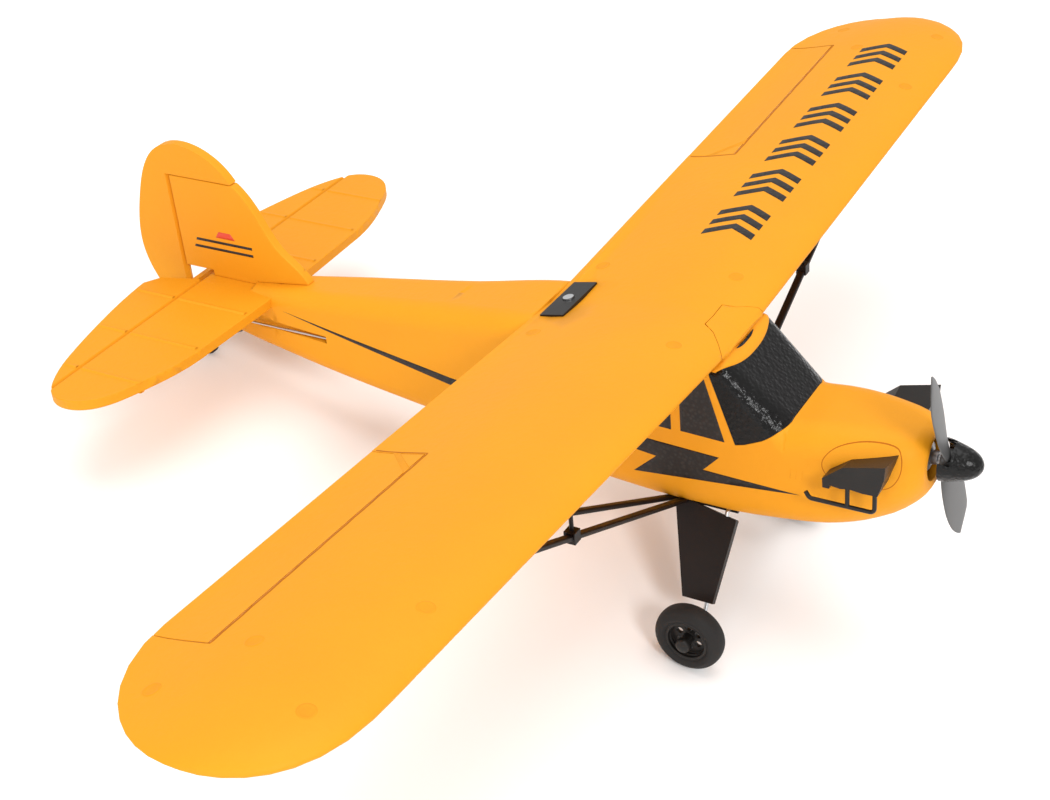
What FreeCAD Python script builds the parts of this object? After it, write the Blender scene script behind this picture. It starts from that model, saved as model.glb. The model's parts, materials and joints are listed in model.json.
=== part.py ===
import FreeCAD, Part
import math
import os
import re
import Sketcher
from FreeCAD import Placement, Rotation, Vector

# Foam high-wing trainer with a 650 mm span. Every sub-part is drawn in the flight frame: origin at the
# wing root's leading edge, +X to the airplane's left wing tip, nose towards -Y, +Z up. The last step
# tilts them all into the stance on three wheels and moves the origin to the bottom centre of the box.

SIZES = {
    "span": 650, "chord": 94, "dihedral": 3.36, "tip_length": 57, "tip_centre": 43, "nose_height": 3.3,
    "aileron_start": 143.5, "aileron_end": 274.5, "aileron_hinge": 68.5, "aileron_height": 3.1,
    "hinge_gap": 0.3, "groove_angle": 32, "skin": 4.5,
    "plate_length": 32, "plate_width": 12, "plate_thickness": 1.6, "screw_radius": 1.5, "head_radius": 2.5,
    "spar_radius": 1.5, "spar_length": 225,
    "tail_height": -28.2, "tail_thickness": 5, "elevator_hinge": 293,
    "rudder_hinge": 307.5, "fin_thickness": 5, "fin_top": 27.2, "horn_length": 12.5,
    "thrust_height": -40, "firewall": -66, "spinner_base": -88, "spinner_tip": -105,
    "spinner_radius": 9.3, "propeller_radius": 60, "propeller_station": -89.5, "hub_radius": 5,
    "bell_radius": 9, "shaft_radius": 1.5, "stator_radius": 7,
    "wheel_track": 60, "wheel_station": 2, "wheel_height": -119.1, "wheel_radius": 16, "wheel_width": 12,
    "rim_radius": 9.8, "axle_radius": 1, "running_gap": 0.06,
    "tail_wheel_radius": 6.5, "tail_wheel_width": 5, "tail_wheel_height": -69.5, "tail_wire_radius": 0.7,
    "fairing_thickness": 3.4, "strut_chord": 3.8, "strut_thickness": 2.3,
    "servo_length": 20, "servo_width": 8, "servo_height": 17, "rod_radius": 0.6, "arm_thickness": 1.2,
    "battery_length": 46, "battery_width": 17, "battery_height": 13,
}

doc = FreeCAD.newDocument("foam_airplane")
sheet = doc.addObject("Spreadsheet::Sheet", "dims")
for row, (alias, number) in enumerate(SIZES.items(), start=1):
    sheet.set(f"A{row}", alias)
    sheet.set(f"B{row}", str(number))
    sheet.setAlias(f"B{row}", alias)
doc.recompute()

parts = {}
X_AXIS, Y_AXIS, Z_AXIS = Vector(1, 0, 0), Vector(0, 1, 0), Vector(0, 0, 1)


def size(alias):
    return float(getattr(sheet, alias))


def bound(expression):
    """Name the sheet in front of every alias of an expression."""
    return re.sub(r"[a-z_]+", lambda m: f"dims.{m[0]}" if m[0] in SIZES else m[0], str(expression))


def value(expression):
    return float(sheet.evalExpression(bound(expression)))


def turned(direction, angle, base=Vector(0, 0, 0)):
    return Placement(base, Rotation(direction, angle))


def aimed(start, direction, side=X_AXIS):
    """Placement with local Z along direction and local X as near to side as it can be."""
    return Placement(start, Rotation(side, Vector(), direction, "ZXY"))


def keep(name, item, place=Placement()):
    item.Label = name
    item.Placement = place
    parts[name] = item
    return item


def keep_shape(name, shape, place=Placement()):
    """A sub-part whose lofted or bent shape comes from Part's own functions."""
    item = doc.addObject("Part::Feature", name)
    item.Shape = shape
    return keep(name, item, place.multiply(shape.Placement))


def bind(item, **expressions):
    for prop, expression in expressions.items():
        item.setExpression(prop, bound(expression))
    return item


# ---- sketches and simple solids -------------------------------------------------------------------

def sketch(body, plane, corners, name):
    """Closed polygon on an origin plane; every corner's two distances are bound to the sheet."""
    drawing = body.newObject("Sketcher::SketchObject", name)
    planes = {feature.Role: feature for feature in body.Origin.OriginFeatures}
    drawing.AttachmentSupport = [(planes[plane], "")]
    drawing.MapMode = "FlatFace"
    points = [Vector(value(u), value(v), 0) for u, v in corners]
    count = len(points)
    for i, point in enumerate(points):
        drawing.addGeometry(Part.LineSegment(point, points[(i + 1) % count]), False)
    for i in range(count):
        drawing.addConstraint(Sketcher.Constraint("Coincident", i, 2, (i + 1) % count, 1))
    for i, (u, v) in enumerate(corners):
        for kind, expression, number in (("DistanceX", u, points[i].x), ("DistanceY", v, points[i].y)):
            index = drawing.addConstraint(Sketcher.Constraint(kind, -1, 1, i, 1, number))
            if re.search("[a-z]", str(expression)):
                drawing.setExpression(f"Constraints[{index}]", bound(expression))
    return drawing


def turned_body(name, profile, place, loose=False):
    """Body of revolution about local Z; the profile lists (radius, height)."""
    body = doc.addObject("PartDesign::Body", name)
    drawing = sketch(body, "XZ_Plane", profile, f"{name}_profile")
    spin = body.newObject("PartDesign::Revolution", f"{name}_turn")
    spin.Profile = drawing
    spin.ReferenceAxis = (drawing, ["V_Axis"])
    spin.Angle = 360
    drawing.Visibility = False
    return body if loose else keep(name, body, place)


def plate_body(name, outline, thickness, place, plane="XY_Plane", loose=False):
    """Flat piece padded half to each side of the sketch plane."""
    body = doc.addObject("PartDesign::Body", name)
    drawing = sketch(body, plane, outline, f"{name}_outline")
    pad = body.newObject("PartDesign::Pad", f"{name}_pad")
    pad.Profile = drawing
    pad.Midplane = True
    bind(pad, Length=thickness)
    return body if loose else keep(name, body, place)


def box(name, length, width, height, place):
    return place_primitive("Part::Box", name, place, Length=length, Width=width, Height=height)


def cylinder(name, radius, height, place):
    return place_primitive("Part::Cylinder", name, place, Radius=radius, Height=height)


def place_primitive(kind, name, place, **sizes):
    item = bind(doc.addObject(kind, name), **sizes)
    item.Placement = place
    return item


def joined(kind, name, base, tool):
    item = doc.addObject(kind, name)
    item.Base, item.Tool = base, tool
    return item


def fused(name, pieces):
    item = doc.addObject("Part::MultiFuse", name)
    item.Shapes = pieces
    return item


# ---- plain shapes used as blanks and cutters --------------------------------------------------------

def block(x, y, z):
    """Solid box between pairs of limits."""
    return Part.makeBox(x[1] - x[0], y[1] - y[0], z[1] - z[0], Vector(x[0], y[0], z[0]))


def prism_along_x(corners, start, end):
    """Polygon of (y, z) corners pulled along X."""
    points = [Vector(start, y, z) for y, z in corners]
    return Part.Face(Part.makePolygon(points + points[:1])).extrude(Vector(end - start, 0, 0))


def rod(start, end, radius):
    return Part.makeCylinder(radius, (end - start).Length, start, end - start)


def bent_rod(points, radius, bend):
    """Round wire along straight runs joined by tangent arcs of one bend radius."""
    edges, last = [], points[0]
    for before, corner, after in zip(points, points[1:], points[2:]):
        inward, outward = (corner - before).normalize(), (after - corner).normalize()
        half_turn = inward.getAngle(outward) / 2
        reach = bend * math.tan(half_turn)
        first, final = corner - inward * reach, corner + outward * reach
        middle = corner + (outward - inward).normalize() * (bend / math.cos(half_turn) - bend)
        edges += [Part.LineSegment(last, first).toShape(), Part.Arc(first, middle, final).toShape()]
        last = final
    edges.append(Part.LineSegment(last, points[-1]).toShape())
    ring = Part.Wire(Part.makeCircle(radius, points[0], points[1] - points[0]))
    return Part.Wire(edges).makePipeShell([ring], True, False)


def closed_curve(points, straight=()):
    """Wire through points: one spline, then straight runs through the extra points back to the start."""
    curve = Part.BSplineCurve()
    curve.interpolate([Vector(*p) for p in points])
    corners = [Vector(*p) for p in (points[-1], *straight, points[0])]
    return Part.Wire([curve.toShape(), *Part.makePolygon(corners).Edges])


def smooth_loop(points):
    """Closed wire that runs smoothly through points and back to the first."""
    curve = Part.BSplineCurve()
    curve.interpolate(points, PeriodicFlag=True)
    return Part.Wire(curve.toShape())


# ---- wing -------------------------------------------------------------------------------------------

# flat-bottomed section: (share of chord, height in shares of chord above the flat bottom)
SECTION = [(1, 0.013), (0.9, 0.028), (0.7, 0.0735), (0.5, 0.105), (0.3, 0.117), (0.12, 0.1), (0.035, 0.071),
           (0, 0.035), (0.02, 0.014), (0.08, 0.003), (0.25, 0)]


def wing_section(x, lead, chord, fullness):
    """Section wire at span station x; fullness below 1 thins it towards the tip's edge."""
    edge = -0.5
    points = []
    for share, height in SECTION:
        z = height * size("chord") - size("nose_height")
        points.append((x, lead + share * chord, edge + fullness * (z - edge)))
    tail = (x, lead + chord, edge + fullness * (-size("nose_height") - edge))
    return closed_curve(points, [tail])


def tip_section(share):
    """Section at a share of the rounded tip's length: blunt oval in front, ellipse behind."""
    x = size("span") / 2 - size("tip_length") * (1 - share)
    centre, rear = size("tip_centre"), size("chord") - size("tip_centre")
    lead = centre - centre * math.sqrt(1 - share ** 2.8)
    trail = centre + rear * math.sqrt(1 - share ** 2)
    return wing_section(x, lead, trail - lead, (1 - share ** 3) ** 0.6)


def wing_blank():
    """Left wing before the dihedral turn, from a little past the centre line to the tip."""
    stations = [0, 0.2, 0.4, 0.57, 0.7, 0.8, 0.88, 0.94, 0.98, 0.998]
    wires = [wing_section(-4, 0, size("chord"), 1)] + [tip_section(share) for share in stations]
    return Part.makeLoft(wires, True, True)


def aileron_cutter(front_slope, gap):
    """Space behind the aileron's hinge line; front_slope leans its front face back below the hinge."""
    top, bottom = 30, -size("nose_height") - 3
    depth = size("aileron_height") - bottom
    front = size("aileron_hinge") + gap
    corners = [(front, top), (front, size("aileron_height")),
               (front + depth * math.tan(math.radians(front_slope)), bottom), (110, bottom), (110, top)]
    return prism_along_x(corners, size("aileron_start") + gap, size("aileron_end") - gap)


left_wing_turn = turned(Y_AXIS, -size("dihedral"))
right_wing_turn = turned(Y_AXIS, size("dihedral"))


def both_sides(shape):
    return shape, shape.mirror(Vector(0, 0, 0), X_AXIS)


def hatch_tongue_outline(gap):
    """Plan of the hatch's tongue where it runs into the wing's leading edge."""
    points = [(20 + gap, -6), (18 + gap, 2), (11 + gap, 9), (9 + gap, 14.5 + gap), (-8 - gap, 14.5 + gap),
              (-12 - gap, 9), (-18 - gap, 4), (-26 - gap, -2), (-28 - gap, -6)]
    corners = [Vector(x, y, -20) for x, y in points]
    return Part.Face(Part.makePolygon(corners + corners[:1])).extrude(Vector(0, 0, 40))


PLATE_CENTRE = Vector(0, 85, -0.1)
plate_turn = turned(X_AXIS, -11, PLATE_CENTRE)


def wing_parts():
    blank = wing_blank()
    aileron = blank.common(aileron_cutter(size("groove_angle"), size("hinge_gap")))
    panel = blank.cut(aileron_cutter(0, 0))
    placed = panel.copy()
    placed.Placement = left_wing_turn
    placed = placed.cut(block((-40, 0), (-20, 120), (-40, 60)))
    left, right = both_sides(placed)
    whole = left.fuse(right).removeSplitter()

    # spar bores, one in each half
    spar_start, spar_end = Vector(3, 19, 1.2), Vector(3 + size("spar_length"), 19, 1.2)
    spar = rod(spar_start, spar_end, size("spar_radius"))
    spar_bore = rod(spar_start, spar_end, size("spar_radius") + 0.05)
    for shape in (spar, spar_bore):
        shape.Placement = left_wing_turn
    whole = whole.cut(Part.makeCompound(both_sides(spar_bore)))
    keep_shape("wing_spars", Part.makeCompound(both_sides(spar)))

    # servo wells in the underside
    for well in both_sides(aileron_servo_well()):
        whole = whole.cut(well)

    # plate pocket and screw hole
    half_length, half_width = size("plate_length") / 2, size("plate_width") / 2
    pocket_space = block((-half_length - 0.1, half_length + 0.1), (-half_width - 0.1, half_width + 0.1),
                         (-0.4, 12))
    hole = Part.makeCylinder(size("screw_radius") + 0.1, 40, Vector(0, 0, -25))
    for shape in (pocket_space, hole):
        shape.Placement = plate_turn
        whole = whole.cut(shape)
    tongue = whole.common(hatch_tongue_outline(0))
    keep_shape("wing", whole.cut(hatch_tongue_outline(0.35)))

    ailerons = aileron.copy()
    ailerons.Placement = left_wing_turn
    for name, shape in zip(("left_aileron", "right_aileron"), both_sides(ailerons)):
        keep_shape(name, shape)
    return tongue


def screw_plate():
    plate = plate_body("wing_screw_plate_blank",
                       [("-plate_length/2", "-plate_width/2"), ("plate_length/2", "-plate_width/2"),
                        ("plate_length/2", "plate_width/2"), ("-plate_length/2", "plate_width/2")],
                       "plate_thickness", Placement(), loose=True)
    hole = cylinder("plate_hole", "screw_radius + 0.1", "10", turned(Z_AXIS, 0, Vector(0, 0, -5)))
    seat = cylinder("plate_seat", "head_radius + 0.2", "5", turned(Z_AXIS, 0, Vector(0, 0, 0)))
    holes = joined("Part::Fuse", "plate_holes", hole, seat)
    cut = joined("Part::Cut", "wing_screw_plate_cut", plate, holes)
    keep("wing_screw_plate", cut, plate_turn.multiply(Placement(Vector(0, 0, 0.4), Rotation())))


# ---- control linkages: a servo, its arm, a pushrod and a horn that stays parallel to the arm ---------

# aileron linkage in the wing's own frame: span station of arm and horn, servo shaft, arm length
LINK_X = 152
SHAFT_Y, SHAFT_Z = 40, -1
AILERON_ARM = 10


def aileron_servo_well():
    """Open well in the wing's underside, round the servo case and its arm."""
    ceiling = SHAFT_Z + size("servo_width") / 2 + 0.15
    well = block((LINK_X - 19, LINK_X + 3.2), (SHAFT_Y - 15.2, SHAFT_Y + 5.2), (-10, ceiling))
    well.Placement = left_wing_turn
    return well


def servo_case(name, place):
    """Small servo: case with two ears and an output boss; local Z is the output shaft."""
    case = box(f"{name}_case", "servo_length", "servo_width", "servo_height",
               Placement(Vector(-5, -size("servo_width") / 2, 0), Rotation()))
    boss = cylinder(f"{name}_boss", "2.2", "1.2", turned(Z_AXIS, 0, Vector(0, 0, size("servo_height"))))
    return keep(name, fused(f"{name}_whole", [case, boss]), place)


def linkage_arm(name, length, place):
    """Servo arm: a tapered plate along local X with a round root and a pin hole; local Z is its shaft."""
    reach = length + 1.6
    plate = plate_body(f"{name}_blank", [("0", "-2.4"), (f"{reach}", "-1.5"), (f"{reach}", "1.5"),
                                         ("0", "2.4")], "arm_thickness", Placement(), loose=True)
    root = cylinder(f"{name}_root", "2.6", "arm_thickness",
                    turned(Z_AXIS, 0, Vector(0, 0, -size("arm_thickness") / 2)))
    hole = cylinder(f"{name}_hole", "rod_radius + running_gap", "4",
                    turned(Z_AXIS, 0, Vector(length, 0, -2)))
    whole = joined("Part::Fuse", f"{name}_whole", plate, root)
    return keep(name, joined("Part::Cut", f"{name}_cut", whole, hole), place)


def pushrod(name, start, end, pin, place):
    """Wire with both ends bent into pins; start and end are the pins' bends, pin their direction."""
    points = [start + pin, start, end, end + pin]
    return keep_shape(name, bent_rod(points, size("rod_radius"), size("rod_radius") * 1.1), place)


def horn(name, outline, hole_at, place):
    """Control horn plate in a local X-Y plane with its pin hole."""
    plate = plate_body(f"{name}_blank", outline, "arm_thickness", Placement(), loose=True)
    hole = cylinder(f"{name}_hole", "rod_radius + running_gap", "4",
                    turned(Z_AXIS, 0, Vector(hole_at[0], hole_at[1], -2)))
    return keep(name, joined("Part::Cut", f"{name}_cut", plate, hole), place)


# The plate planes of linkages that turn about X have local X along -Z and local Y along Y.
ABOUT_X = Rotation(Vector(0, 0, -1), Vector(0, 1, 0), Vector(), "XYZ")


def aileron_linkage(name, side):
    """Servo in the wing's underside; its arm, rod and the aileron's horn hang below the wing."""
    turn = left_wing_turn if side > 0 else right_wing_turn
    hinge_y = size("aileron_hinge") + size("hinge_gap") / 2
    hinge_z = size("aileron_height")
    link_x = side * LINK_X
    shaft = Rotation(Vector(0, -1, 0), Vector(), Vector(side, 0, 0), "XZY")
    case_base = link_x - side * (1.9 + size("servo_height"))
    servo_case(f"{name}_aileron_servo", turn.multiply(Placement(Vector(case_base, SHAFT_Y, SHAFT_Z), shaft)))
    linkage_arm(f"{name}_aileron_servo_arm", AILERON_ARM,
                turn.multiply(Placement(Vector(link_x, SHAFT_Y, SHAFT_Z), ABOUT_X)))
    rod_x = link_x + side * 1.4
    pushrod(f"{name}_aileron_pushrod", Vector(rod_x, SHAFT_Y, SHAFT_Z - AILERON_ARM),
            Vector(rod_x, hinge_y, hinge_z - AILERON_ARM), Vector(-side * 3, 0, 0), turn)
    base, pin = size("nose_height"), AILERON_ARM - hinge_z
    horn(f"{name}_aileron_horn", [(f"{base}", "73.6"), (f"{pin - 0.9}", "67"), (f"{pin + 1.6}", "67"),
                                  (f"{pin + 1.6}", "70.4"), (f"{base}", "83")],
         (pin, hinge_y), turn.multiply(Placement(Vector(link_x, 0, 0), ABOUT_X)))


# ---- fuselage -----------------------------------------------------------------------------------------

# station y: half width, top, bottom, top corner radius, bottom corner radius
BODY_STATIONS = [
    (-28, 25.8, -26.2, -76.9, 13, 13.5), (0, 26, -1.0, -79.8, 7, 14), (25, 26, 0.5, -80, 7, 14),
    (60, 26, 0.3, -78, 8, 14), (94, 24.6, -0.8, -74.8, 10, 13), (143, 20.5, -7.7, -69.9, 11, 12),
    (207, 16, -16.6, -63, 9, 10), (247, 12.6, -22.2, -57.9, 7.5, 9), (271, 10.6, -25.4, -53.6, 6, 7.5),
    (292, 6.6, -28.2, -49.4, 4, 5), (306, 3, -30, -47, 2, 2.5),
]
NOSE_STATIONS = [
    (-84.5, 13.5, -28.5, -53.5, 12, 12.4), (-82.5, 16.5, -26.2, -57, 14, 15.2),
    (-79, 19, -24.6, -60.5, 15, 16.8), (-72, 21.8, -23.8, -65.6, 15.5, 17.5),
    (-57, 24.4, -23.6, -71.5, 14.5, 15.5), (-42, 25.5, -24.4, -75, 13.5, 14),
    (-28, 25.8, -26.2, -76.9, 13, 13.5),
]


def body_section(station, inset=0):
    """Rounded rectangle across the fuselage; inset moves it inwards all round."""
    y, half, top, bottom, upper, lower = station
    half, top, bottom = half - inset, top - inset, bottom + inset
    upper, lower = max(upper - inset, 0.6), max(lower - inset, 0.6)
    edges = []
    corners = [(half, bottom, lower, 1, 1), (half, top, upper, 1, -1),
               (-half, top, upper, -1, -1), (-half, bottom, lower, -1, 1)]
    starts = []
    for x, z, radius, sx, sz in corners:
        centre = Vector(x - sx * radius, y, z + sz * radius)
        flat = Vector(centre.x, y, z)
        side = Vector(x, y, centre.z)
        middle = centre + Vector(sx, 0, -sz) * (radius / math.sqrt(2))
        first, last = (flat, side) if sx * sz > 0 else (side, flat)
        starts.append((first, middle, last))
    for i, (first, middle, last) in enumerate(starts):
        edges.append(Part.Arc(first, middle, last).toShape())
        edges.append(Part.LineSegment(last, starts[(i + 1) % 4][0]).toShape())
    return Part.Wire(edges)


def body_loft(stations, inset=0):
    return Part.makeLoft([body_section(station, inset) for station in stations], True, True)


def stations_between(stations, start, end):
    """The stations cut down to a stretch, with end stations interpolated."""
    def at(y):
        for low, high in zip(stations, stations[1:]):
            if low[0] <= y <= high[0]:
                share = (y - low[0]) / (high[0] - low[0])
                return tuple(a + share * (b - a) for a, b in zip(low, high))
        raise ValueError(y)
    return [at(start)] + [s for s in stations if start < s[0] < end] + [at(end)]


# hatch seat seen from the side: front base, the sill down to the rear bottom corner, rear top corner
HATCH_SEAT = [(-28.2, -26.4), (-24.6, -28.4), (-18.2, -33), (-10.2, -36.9), (-6, -38), (5.4, -5.3), (8, 0)]


def hatch_space(gap):
    """Space of the windscreen and hatch, grown by gap at the seat."""
    (base_y, base_z), *sill, corner, rear, top = HATCH_SEAT
    front_edge = [(base_y - gap, base_z - gap), *[(y, z - gap) for y, z in sill]]
    rear_edge = [(corner[0], corner[1] - gap * 1.4), (rear[0] + gap, rear[1]), (top[0] + gap, top[1] + 0.2)]
    corners = front_edge + rear_edge + [(top[0] + gap, 20), (-60, 20), (-60, base_z - gap)]
    return prism_along_x(corners, -40, 40)


def wing_saddle():
    """Space of the wing's underside over the cabin, following its dihedral."""
    low = -size("nose_height") - 0.12
    corners = [(-3, 6), (-1, 0.5), (-0.7, -0.8), (1.2, -2.5), (5, -3.3), (12, low), (94.3, low), (94.3, 30),
               (-3, 30)]
    wedge = prism_along_x(corners, -2, 60)
    wedge.Placement = left_wing_turn
    return wedge, wedge.mirror(Vector(0, 0, 0), X_AXIS)


def stabiliser_outline():
    """Right half of the tailplane's plan, from the root's leading edge round the tip to the root."""
    return [(60, 249), (84, 252), (100, 257), (114, 263), (121, 269), (124.8, 277), (124.8, 285),
            (122, 291), (116, 296), (102, 303), (88, 307.5), (64, 313.5), (38, 318.5), (22, 320.3)]


def tailplane_solid():
    """Tailplane and elevators as one flat panel with a rounded plan."""
    top = size("tail_height") + size("tail_thickness") / 2
    tips = [Vector(x, y, top) for x, y in stabiliser_outline()]
    curve = Part.BSplineCurve()
    curve.interpolate(tips)
    corners = [tips[-1], Vector(14, 315, top), Vector(8.5, 296, top), Vector(0, 296, top),
               Vector(0, 247, top), tips[0]]
    face = Part.Face(Part.Wire([curve.toShape(), *Part.makePolygon(corners).Edges]))
    half = face.extrude(Vector(0, 0, -size("tail_thickness")))
    return half


def tail_bevel(hinge_y, lean):
    """Everything behind a hinge line, with the front edge bevelled both ways."""
    half = size("tail_thickness") / 2 + 1
    middle = size("tail_height")
    back = hinge_y + half * math.tan(math.radians(lean))
    corners = [(back, middle + half), (hinge_y, middle), (back, middle - half), (330, middle - half),
               (330, middle + half)]
    return prism_along_x(corners, -140, 140)


def tail_parts():
    half = tailplane_solid()
    hinge = size("elevator_hinge")
    stabiliser_half = half.cut(block((-1, 140), (hinge - 0.3, 330), (-60, 0)))
    left, right = both_sides(stabiliser_half)
    stabiliser = left.fuse(right).removeSplitter()
    keep_shape("stabiliser", stabiliser)
    elevator_half = half.common(tail_bevel(hinge + 0.25, 30)).cut(block((-1, 8.5), (200, 330), (-60, 0)))
    # notch for the joiner that ties both elevators
    notch = block((0, 16.05), (hinge + 3.95, hinge + 7.05), (-40, size("tail_height") + 1.55))
    elevator_half = elevator_half.cut(notch)
    for name, shape in zip(("left_elevator", "right_elevator"), both_sides(elevator_half)):
        keep_shape(name, shape)
    return stabiliser


def elevator_joiner():
    """Moulded bar between the elevators with the horn's hanging plate."""
    hinge = size("elevator_hinge")
    plate_x = -11.9
    bar = box("joiner_bar", "32", "3", "3",
              Placement(Vector(-16, hinge + 4, size("tail_height") - 1.5), Rotation()))
    pin_z = size("tail_height") - size("horn_length")
    horn_outline = [(f"{-(size('tail_height') - 1.4)}", f"{hinge + 4}"),
                    ("31.8", f"{hinge + 4}"), (f"{-(pin_z + 1)}", f"{hinge - 1.7}"),
                    (f"{-(pin_z - 1.6)}", f"{hinge - 1.7}"), (f"{-(pin_z - 1.6)}", f"{hinge + 1.5}"),
                    ("31.8", f"{hinge + 7}"), (f"{-(size('tail_height') - 1.4)}", f"{hinge + 7}")]
    plate = plate_body("joiner_horn", horn_outline, "arm_thickness", Placement(), loose=True)
    plate.Placement = Placement(Vector(plate_x, 0, 0), ABOUT_X)
    hole = cylinder("joiner_hole", "rod_radius + running_gap", "4",
                    Placement(Vector(plate_x - 2, hinge, pin_z), Rotation(Y_AXIS, 90)))
    whole = joined("Part::Fuse", "joiner_whole", bar, plate)
    keep("elevator_joiner", joined("Part::Cut", "joiner_cut", whole, hole))


def fin_outline():
    return [(229, -22), (233.5, -15), (245.7, -4.3), (255.4, 11.4), (263, 22.6), (268, 27.2)]


def upright_panel(curve_points, straight, thickness):
    """Panel in the Y-Z plane through a spline and straight runs, half its thickness to each side."""
    wire = closed_curve([(-thickness / 2, y, z) for y, z in curve_points],
                        [(-thickness / 2, y, z) for y, z in straight])
    return Part.Face(wire).extrude(Vector(thickness, 0, 0))


def fin_and_rudder(body_solid, stabiliser):
    thickness, hinge, top = size("fin_thickness"), size("rudder_hinge"), size("fin_top")
    fin = upright_panel(fin_outline(), [(hinge - 0.4, top), (hinge - 0.4, -22.7), (290, -22.7),
                                        (290, -34), (229, -34)], thickness)
    fin = fin.cut(body_solid).cut(stabiliser)
    keep_shape("fin", max(fin.Solids, key=lambda solid: solid.Volume))
    outline = [(268.6, top + 0.5), (275, 35.2), (285.6, 41.8), (298, 44.6), (308, 43.2), (314.5, 39.5),
               (321, 32), (328.7, 14.4), (332.8, -0.3), (334.2, -14.9), (331.4, -27.7), (326, -38),
               (318, -48), (311, -53.5), (hinge + 0.3, -54.5)]
    blank = upright_panel(outline, [(hinge + 0.3, top + 0.5)], thickness)
    # bevel the rudder's front edge below its balance
    bevel_depth = (thickness / 2 + 1) * math.tan(math.radians(32))
    wedge_plan = [(0, hinge + 0.3), (3.5, hinge + 0.3 + bevel_depth), (3.5, hinge - 2), (0, hinge - 2)]
    wedge_corners = [Vector(x, y, -60) for x, y in wedge_plan]
    wedge_face = Part.Face(Part.makePolygon(wedge_corners + wedge_corners[:1]))
    wedge = wedge_face.extrude(Vector(0, 0, top + 0.5 + 60))
    rudder = blank.cut(wedge).cut(wedge.mirror(Vector(0, 0, 0), X_AXIS))
    rudder = rudder.cut(rod(Vector(0, hinge + 3, -60), Vector(0, hinge + 3, -46.9), size("tail_wire_radius")))
    keep_shape("rudder", rudder)


def rudder_linkage():
    """Horn on the rudder's left face, near its foot."""
    hinge, length = size("rudder_hinge"), size("horn_length")
    plate_z = -44.5
    skin = size("fin_thickness") / 2
    horn("rudder_horn", [(f"{skin}", f"{hinge + 3}"), ("6", f"{hinge + 1.6}"),
                         (f"{length - 1.5}", f"{hinge - 1.6}"), (f"{length + 1.6}", f"{hinge - 1.6}"),
                         (f"{length + 1.6}", f"{hinge + 1.6}"), (f"{skin}", f"{hinge + 11}")],
         (length, hinge), Placement(Vector(0, 0, plate_z), Rotation()))
    servo_y = 82
    servo_case("rudder_servo", Placement(Vector(0, servo_y, plate_z - 1.9 - size("servo_height")),
                                         Rotation(Z_AXIS, 90)))
    linkage_arm("rudder_servo_arm", length, Placement(Vector(0, servo_y, plate_z), Rotation()))
    rod_z = plate_z + 1.4
    pushrod("rudder_pushrod", Vector(length, servo_y, rod_z), Vector(length, hinge, rod_z),
            Vector(0, 0, -3), Placement())


def elevator_linkage():
    hinge, length = size("elevator_hinge"), size("horn_length")
    pivot = Vector(-11.9, 112, size("tail_height"))
    servo_case("elevator_servo", Placement(pivot + Vector(1.9 + size("servo_height"), 0, 0),
                                           Rotation(Vector(0, -1, 0), Vector(), Vector(-1, 0, 0), "XZY")))
    linkage_arm("elevator_servo_arm", length, Placement(pivot, ABOUT_X))
    rod_x = pivot.x - 1.4
    pushrod("elevator_pushrod", Vector(rod_x, pivot.y, pivot.z - length),
            Vector(rod_x, hinge, pivot.z - length), Vector(3, 0, 0), Placement())


def fuselage_parts(stabiliser):
    outer = body_loft(BODY_STATIONS)
    # the tailplane closes the top of the last stretch
    deck = size("tail_height") + size("tail_thickness") / 2 - 0.2
    outer = outer.cut(block((-30, 30), (262, 320), (deck, 0)))
    inner = body_loft(stations_between(BODY_STATIONS, -25.5, 258), size("skin"))
    opening = block((-17, 17), (-30, -24), (-71, -38))
    shell = outer.cut(inner).cut(opening)
    for cutter in wing_saddle():
        shell = shell.cut(cutter)
    shell = shell.cut(hatch_space(0.2)).cut(stabiliser)
    # joiner gap above the tail post, pushrod channels, gear block seat
    shell = shell.cut(block((-20, 20), (290.6, 310), (-34, -20)))
    rod_z = size("tail_height") - size("horn_length")
    shell = shell.cut(block((-15.4, -11.4), (158, 300), (rod_z - 1.4, rod_z + 2.4)))
    shell = shell.cut(block((10.2, 15.4), (150, 300), (-44.9, -41.3)))
    shell = shell.cut([gear_block_solid(), gear_wire_channel()])
    shell = shell.cut(block((-18, 18), (-25, 66), (-8, 5)))
    screw_hole = Part.makeCylinder(size("screw_radius") + 0.05, 40, Vector(0, 0, -25))
    screw_hole.Placement = plate_turn
    shell = shell.cut(screw_hole)
    right = shell.cut(block((0, 40), (-60, 400), (-100, 60)))
    left = shell.cut(block((-40, 0), (-60, 400), (-100, 60)))
    for name, half in (("fuselage_right_half", right), ("fuselage_left_half", left)):
        keep_shape(name, max(half.Solids, key=lambda solid: solid.Volume))
    return outer


def hatch_parts(tongue):
    """Windscreen shell over a foam frame that carries the tongue."""
    stretch = stations_between(BODY_STATIONS, -28, 20)
    space = hatch_space(0)
    saddle = wing_saddle()
    layers = [body_loft(stretch, inset) for inset in (0, 1.4, 1.5, 5)]
    screen = layers[0].cut(layers[1]).common(space)
    frame = layers[2].cut(layers[3]).common(space)
    for cutter in saddle:
        screen, frame = screen.cut(cutter), frame.cut(cutter)
    bridge = block((-8, 8), (-3, 12), (-9.5, -2.4))
    frame = frame.fuse([bridge.cut(layers[0].cut(layers[2])), tongue])
    frame = frame.cut(screen)
    keep_shape("windscreen", max(screen.Solids, key=lambda solid: solid.Volume))
    keep_shape("hatch_frame", max(frame.Solids, key=lambda solid: solid.Volume))


def cowl():
    outer = body_loft(NOSE_STATIONS)
    inner = body_loft(stations_between(NOSE_STATIONS, -80, -28), size("skin"))
    mouth = Part.makeCylinder(10.2, 20, Vector(0, -90, size("thrust_height")), Y_AXIS)
    keep_shape("cowl", outer.cut(inner).cut(mouth))


# ---- power train ---------------------------------------------------------------------------------------

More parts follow.
